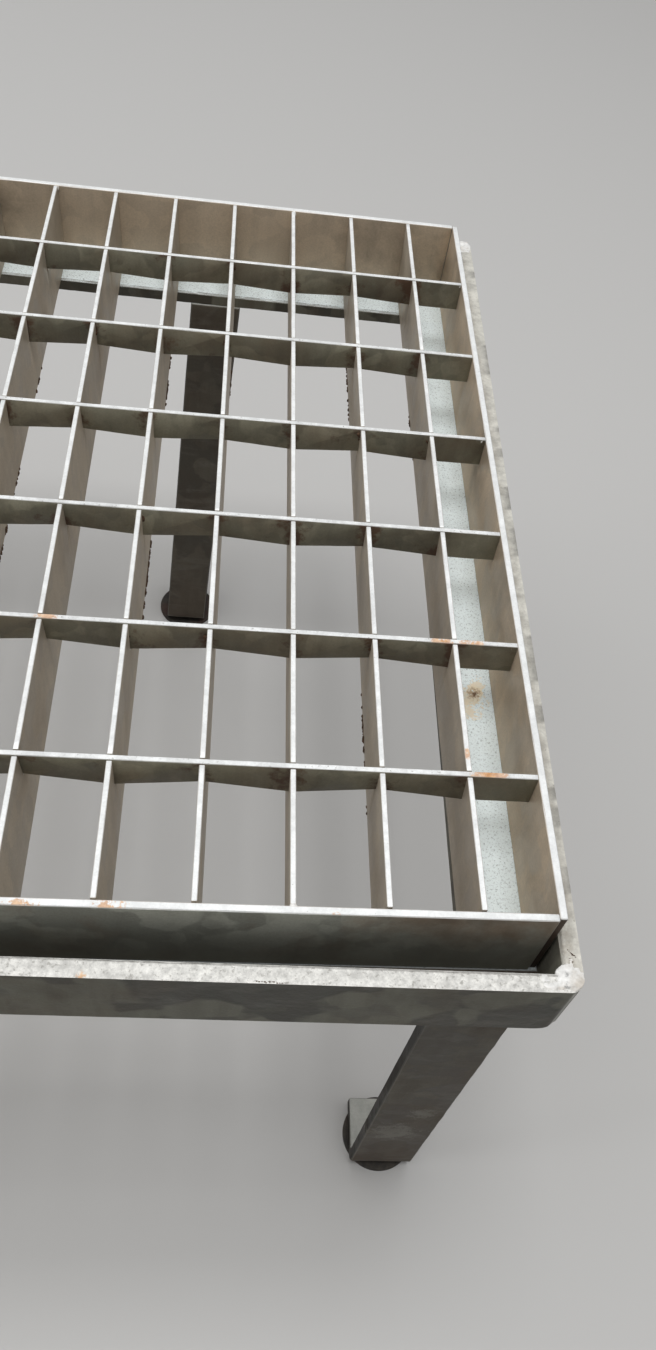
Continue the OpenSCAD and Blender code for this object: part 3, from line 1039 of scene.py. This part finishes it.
class GRATING_OT_welds(bpy.types.Operator):
    """Weld metal at the frame's corners, on the legs and on the panel"""

    bl_idname = "grating.welds"
    bl_label = "Welds"

    def execute(self, context):
        look = context.scene.weld_look
        metal = tuple(look.metal)
        tones = (darker(metal, 0.78), metal)
        coat = plain_coat("Weld zinc", *tones, 0.42, 2 * MM, 0.35 * MM, WELD_STAIN)
        dull = plain_coat("Dull weld zinc", *SEAM_TONES, 0.6, 3 * MM, 0.15 * MM)
        low = (-FRAME_END, -FRAME_SIDE, cad_box[0][2])
        high = (FRAME_END, FRAME_SIDE, cad_box[1][2])
        chance = random.Random(WELD_SEED)
        for side_x, side_y in ((-1, -1), (-1, 1), (1, -1), (1, 1)):
            side = ("back" if side_y > 0 else "front") + ("_right" if side_x > 0 else "_left")
            mesh = bmesh.new()
            corner_metal(mesh, chance, side_x, side_y)
            skin = skin_over("corner_weld_" + side, mesh, CORNER_GRAIN)
            keep_in_box(skin, low, high)
            pit_surface(skin, 1.3 * MM, 0.45 * MM)
            round_corner(skin, GROUND_RADIUS)
            add_piece("corner_weld_" + side, skin, coat)
            mesh = bmesh.new()
            frame_seam(mesh, chance, side_x, side_y)
            skin = skin_over("seam_weld_" + side, mesh, SEAM_GRAIN)
            add_piece("seam_weld_" + side, skin, dull)
        self.leg_beads(chance, dull)
        self.panel_tacks(chance, coat, look.tack_every)
        return {"FINISHED"}

    def leg_beads(self, chance, coat):
        for row in ("front", "back"):
            mesh = bmesh.new()
            for side in ("left", "right"):
                places = [v.co for v in NODES["leg_%s_%s" % (row, side)].data.vertices]
                top = [p for p in places if p.z > FRAME_BOTTOM - 0.1 * MM]
                start, end = min(p.x for p in top), max(p.x for p in top)
                faces = [(max(p.y for p in top), 1)]
                if row == "front":
                    faces.append((min(p.y for p in top), -1))
                for face, away in faces:
                    along = start + 1.2 * MM
                    while along < end - 0.8 * MM:
                        size = chance.uniform(1.7, 2.4) * MM
                        centre = Vector((along, face + away * 0.6 * MM, FRAME_BOTTOM - 0.7 * MM))
                        lump(mesh, centre, (0.8 * size, size, size), 0.15)
                        along += chance.uniform(1.2, 1.7) * MM
            name = "leg_beads_" + row
            skin = skin_over(name, mesh, BEAD_GRAIN)
            add_piece(name, skin, coat, ["welds_" + row])

    def panel_tacks(self, chance, coat, every):
        """Tacks between bars and strips, and the cross bars' ends, burred over."""
        mesh = bmesh.new()
        for number, ends in enumerate(BAR_LINES):
            if (number + 2 * every - len(BAR_LINES) + 3) % every:
                continue
            for end, away in zip(ends, (-1, 1)):
                size = chance.uniform(0.9, 1.3)
                centre = end + Vector((0.2 * size, 0.2 * away, -1.0 * size)) * MM
                lump(mesh, centre, Vector((1.0, 1.0, 1.2)) * size * MM, 0.4)
        for ends in CROSS_LINES:
            for end, away in zip(ends, (-1, 1)):
                size = chance.uniform(0.8, 1.2)
                centre = end + Vector((-0.3 * away, 0.0, -0.9 * size)) * MM
                lump(mesh, centre, Vector((1.7, 1.0, 0.9)) * size * MM, 0.3)
        skin = skin_over("panel_tacks", mesh, TACK_GRAIN)
        low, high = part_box("edge_front")[0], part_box("edge_back")[1]
        keep_in_box(skin, low, (high[0], high[1], PANEL_TOP - 0.02 * MM))
        add_piece("panel_tacks", skin, coat)


# Dirty marks on the rim: a crack beside the front right corner, and a nick in the front edge
RIM_MARKS = [(495.3 + 0.25 * i, -149.1 - 0.25 * i) for i in range(8)]
RIM_MARKS += [(495.5 + 0.3 * i, -151.4 - 0.3 * i) for i in range(3)]
RIM_MARKS += [(419.5 + 0.5 * i, -159.6) for i in range(15)]


class GRATING_OT_dirt(bpy.types.Operator):
    """Rusty crumbs in the corners where bars cross"""

    bl_idname = "grating.dirt"
    bl_label = "Dirt"

    def execute(self, context):
        look = context.scene.weld_look
        chance = random.Random(DIRT_SEED)
        dirt = tuple(look.dirt)
        coat = plain_coat("Rusty dirt", darker(dirt, 0.4), dirt, 0.95, 1.2 * MM, 0.2 * MM)
        mesh = bmesh.new()
        for cross in CROSS_LINES:
            for bar in BAR_LINES:
                if chance.random() <= look.dirt_share:
                    self.crumbs(mesh, chance, crossing(bar, cross))
        self.lower_edges(mesh, chance)
        for x, y in RIM_MARKS:
            size = chance.uniform(0.1, 0.22)
            wobble = Vector((chance.uniform(-0.2, 0.2), chance.uniform(-0.2, 0.2), 0.0))
            place = (Vector((x, y, 0.0)) + wobble) * MM + Vector((0.0, 0.0, RIM_TOP))
            lump(mesh, place, Vector((1.5, 1.0, 0.6)) * size * MM, 0.5, 1)
        result = bpy.data.meshes.new("crossing_dirt")
        mesh.to_mesh(result)
        mesh.free()
        add_piece("crossing_dirt", result, coat)
        return {"FINISHED"}

    def crumbs(self, mesh, chance, place):
        """A few crumbs in one corner of a crossing, most often in front of the cross bar."""
        side = chance.choice((-1, 1))
        front = -1 if chance.random() < 0.75 else 1
        deep = chance.uniform(1.5, 8.5)
        for _ in range(chance.randint(1, 4)):
            size = chance.uniform(0.3, 0.85)
            shift = (
                side * (BESIDE_BAR + chance.uniform(0.0, 0.5)),
                front * (BESIDE_CROSS + chance.uniform(0.0, 0.6)),
                -deep + chance.uniform(-1.5, 1.0),
            )
            radii = Vector((1.0, 0.9, 1.3)) * size * MM
            lump(mesh, place + Vector(shift) * MM, radii, 0.5, 1)

    def lower_edges(self, mesh, chance):
        """Crusts of dirt along the bars' lower edges, more of them on some bars."""
        for start, end in BAR_FEET:
            run = end - start
            for _ in range(chance.choice((0, 1, 2, 3))):
                along, far = chance.uniform(0.08, 0.75), chance.uniform(0.06, 0.16)
                while far > 0:
                    size = chance.uniform(0.35, 0.8) * MM
                    side = chance.choice((-BESIDE_BAR, BESIDE_BAR)) * MM
                    place = start + run * (along + far) + Vector((side, 0.0, size))
                    lump(mesh, place, Vector((0.8, 1.4, 1.1)) * size, 0.5, 1)
                    far -= chance.uniform(0.002, 0.006)


# Stage


# The camera's sensor in millimetres, how far its picture is shifted, and the floor's reach
SENSOR = 36.0
CAMERA_SHIFT = (-0.01276, -0.00133)
FLOOR_REACH = 6.0


def area_light(name, place, aim, size, power):
    lamp = bpy.data.lights.new(name, "AREA")
    lamp.shape = "RECTANGLE"
    lamp.size, lamp.size_y = size
    lamp.energy = power
    piece = bpy.data.objects.new(name, lamp)
    piece.location = place
    piece.rotation_euler = (Vector(aim) - Vector(place)).to_track_quat("-Z", "Y").to_euler()
    bpy.context.scene.collection.objects.link(piece)


class GRATING_OT_stage(bpy.types.Operator):
    """Pale floor, soft lights and the camera at the photograph's angle"""

    bl_idname = "grating.stage"
    bl_label = "Stage"

    def execute(self, context):
        scene = context.scene
        look = scene.stage_look
        scene.view_settings.view_transform = "Standard"

        floor_mesh = bpy.data.meshes.new("floor")
        signs = ((-1, -1), (1, -1), (1, 1), (-1, 1))
        corners = [(x * FLOOR_REACH, y * FLOOR_REACH, 0) for x, y in signs]
        floor_mesh.from_pydata(corners, [], [(0, 1, 2, 3)])
        floor = bpy.data.objects.new("floor", floor_mesh)
        scene.collection.objects.link(floor)
        coat = bpy.data.materials.new("Pale floor")
        coat.use_nodes = True
        shader = coat.node_tree.nodes["Principled BSDF"]
        shader.inputs["Base Color"].default_value = rgba(look.floor)
        shader.inputs["Roughness"].default_value = 0.85
        floor_mesh.materials.append(coat)

        world = bpy.data.worlds.new("Room")
        scene.world = world
        world.use_nodes = True
        back = world.node_tree.nodes["Background"]
        back.inputs["Color"].default_value = (1.0, 1.0, 1.0, 1.0)
        back.inputs["Strength"].default_value = look.sky

        area_light("Key light", (0.15, 1.25, 1.65), (0.1, 0, 0.2), (1.8, 1.6), look.key_power)
        for x, power in zip((0.42, -0.5), look.top_power):
            area_light("Top light", (x, -0.12, 2.2), (x, -0.1, 0.2), (0.85, 0.85), power)
        for side, power in zip((-1, 1), look.side_power):
            place = (side * 1.9, -0.1, 1.5)
            area_light("Side light", place, (side * 0.2, 0, 0.2), (1.2, 1.2), power)

        camera = bpy.data.cameras.new("Camera")
        camera.lens = look.lens
        camera.sensor_width = SENSOR
        camera.shift_x, camera.shift_y = CAMERA_SHIFT
        camera.clip_start = 0.01
        holder = bpy.data.objects.new("Camera", camera)
        holder.location = look.camera_place
        holder.rotation_euler = look.camera_turn
        scene.collection.objects.link(holder)
        scene.camera = holder
        return {"FINISHED"}


# The add-on


class GRATING_PT_side(bpy.types.Panel):
    """Lists the step's pieces"""

    bl_label = "Grating step"
    bl_idname = "GRATING_PT_side"
    bl_space_type = "VIEW_3D"
    bl_region_type = "UI"
    bl_category = "Grating step"

    def draw(self, context):
        layout = self.layout
        for operator in OPERATORS:
            layout.operator(operator.bl_idname)
        for name in LOOKS:
            group = getattr(context.scene, name)
            box = layout.box()
            for key in group.bl_rna.properties.keys():
                if key not in ("rna_type", "name"):
                    box.prop(group, key)


LOOKS = {
    "panel_look": PanelLook,
    "frame_look": FrameLook,
    "weld_look": WeldLook,
    "stage_look": StageLook,
}
OPERATORS = (
    GRATING_OT_panel,
    GRATING_OT_frame,
    GRATING_OT_legs,
    GRATING_OT_welds,
    GRATING_OT_dirt,
    GRATING_OT_stage,
)
CLASSES = (*LOOKS.values(), *OPERATORS, GRATING_PT_side)


def register():
    for item in CLASSES:
        bpy.utils.register_class(item)
    for name, look in LOOKS.items():
        setattr(bpy.types.Scene, name, bpy.props.PointerProperty(type=look))


def unregister():
    for name in LOOKS:
        delattr(bpy.types.Scene, name)
    for item in reversed(CLASSES):
        bpy.utils.unregister_class(item)


def main():
    register()
    bpy.ops.grating.panel()
    bpy.ops.grating.frame()
    bpy.ops.grating.legs()
    bpy.ops.grating.welds()
    bpy.ops.grating.dirt()
    bpy.ops.grating.stage()


if __name__ == "__main__":
    main()
